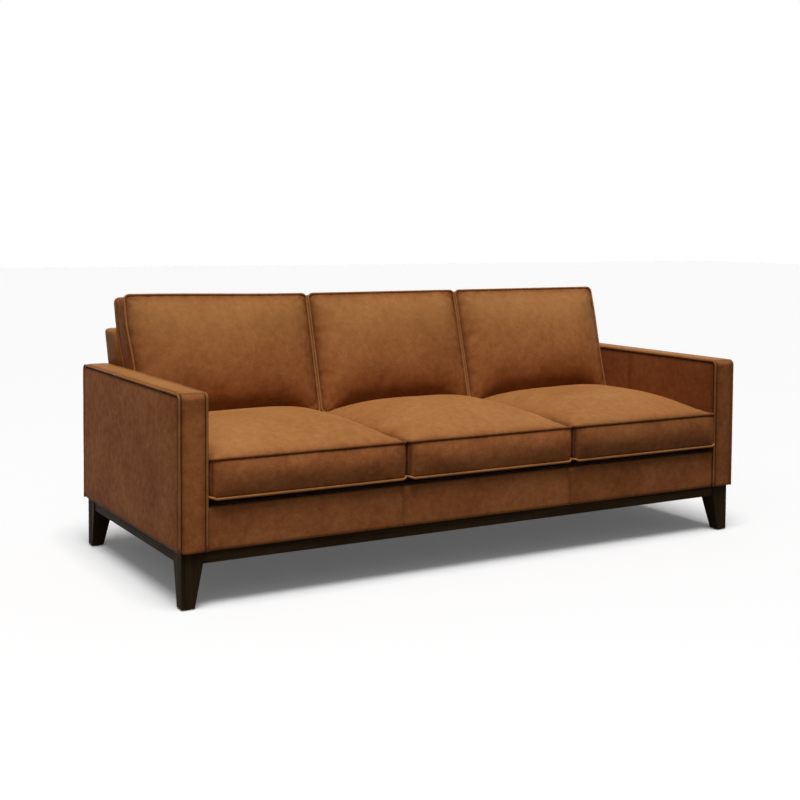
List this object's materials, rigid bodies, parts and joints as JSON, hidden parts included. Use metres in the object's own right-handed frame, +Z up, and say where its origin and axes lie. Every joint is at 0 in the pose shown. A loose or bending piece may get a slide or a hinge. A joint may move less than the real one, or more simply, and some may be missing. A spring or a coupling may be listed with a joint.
{
  "type": "sofa",
  "caption": "Boxy leather sofa with slim track arms, loose crowned seat and back cushions, piped edges, and a dark wooden base on tapered legs.",
  "frame": {"origin": "on the floor, under the middle of the sofa's width and depth", "axes": "+X along the width, front faces -Y, +Z up"},
  "size_m": [2.184, 0.954, 0.876],
  "materials": {
    "leather": "satin",
    "base_wood": "satin",
    "frame_wood": "matte",
    "foam": "matte",
    "felt": "matte",
    "deck_fabric": "matte",
    "cambric": "matte",
    "webbing": "matte",
    "spring_steel": "satin",
    "glide_plastic": "matte"
  },
  "bodies": {
    "frame": {"arm_bottom_rail_left": "frame_wood", "arm_bottom_rail_right": "frame_wood", "arm_inner_panel_left": "leather", "arm_inner_panel_right": "leather", "arm_outer_panel_left": "leather", "arm_outer_panel_right": "leather", "arm_pad_left": "foam", "arm_pad_right": "foam", "arm_posts_left": "frame_wood", "arm_posts_right": "frame_wood", "arm_strip_left": "leather", "arm_strip_right": "leather", "arm_top_rail_left": "frame_wood", "arm_top_rail_right": "frame_wood", "arm_welts_left": "leather", "arm_welts_right": "leather", "back_bottom_rail": "frame_wood", "back_edge_strip": "leather", "back_inner_panel": "leather", "back_outer_panel": "leather", "back_pad": "foam", "back_posts": "frame_wood", "back_top_rail": "frame_wood", "back_webbing": "webbing", "base_rail_front": "base_wood", "base_rail_left": "base_wood", "base_rail_rear": "base_wood", "base_rail_right": "base_wood", "corner_blocks": "frame_wood", "deck_cloth": "deck_fabric", "dust_cover": "cambric", "foot_glides": "glide_plastic", "front_panel_left": "leather", "front_panel_middle": "leather", "front_panel_right": "leather", "leg_bolts": "spring_steel", "leg_front_left": "base_wood", "leg_front_right": "base_wood", "leg_rear_left": "base_wood", "leg_rear_right": "base_wood", "seat_rail_front": "frame_wood", "seat_rail_rear": "frame_wood", "seat_springs": "spring_steel", "seat_stretchers": "frame_wood", "spring_clips": "spring_steel", "spring_pad": "felt", "spring_tie_wires": "spring_steel"},
    "seat_left": {"seat_cushion_left": "leather", "seat_core_left": "foam"},
    "seat_middle": {"seat_cushion_middle": "leather", "seat_core_middle": "foam"},
    "seat_right": {"seat_cushion_right": "leather", "seat_core_right": "foam"},
    "back_left": {"back_cushion_left": "leather", "back_core_left": "foam"},
    "back_middle": {"back_cushion_middle": "leather", "back_core_middle": "foam"},
    "back_right": {"back_cushion_right": "leather", "back_core_right": "foam"}
  },
  "joints": [
    {"name": "seat_left_pull", "type": "slide", "parent": "frame", "child": "seat_left", "axis": [0, -1, 0], "range_m": [0, 0.72]},
    {"name": "seat_middle_pull", "type": "slide", "parent": "frame", "child": "seat_middle", "axis": [0, -1, 0], "range_m": [0, 0.72]},
    {"name": "seat_right_pull", "type": "slide", "parent": "frame", "child": "seat_right", "axis": [0, -1, 0], "range_m": [0, 0.72]},
    {"name": "back_left_lift", "type": "slide", "parent": "frame", "child": "back_left", "axis": [0, 0.2756, 0.9613], "range_m": [0, 0.36]},
    {"name": "back_middle_lift", "type": "slide", "parent": "frame", "child": "back_middle", "axis": [0, 0.2756, 0.9613], "range_m": [0, 0.36]},
    {"name": "back_right_lift", "type": "slide", "parent": "frame", "child": "back_right", "axis": [0, 0.2756, 0.9613], "range_m": [0, 0.36]}
  ]
}
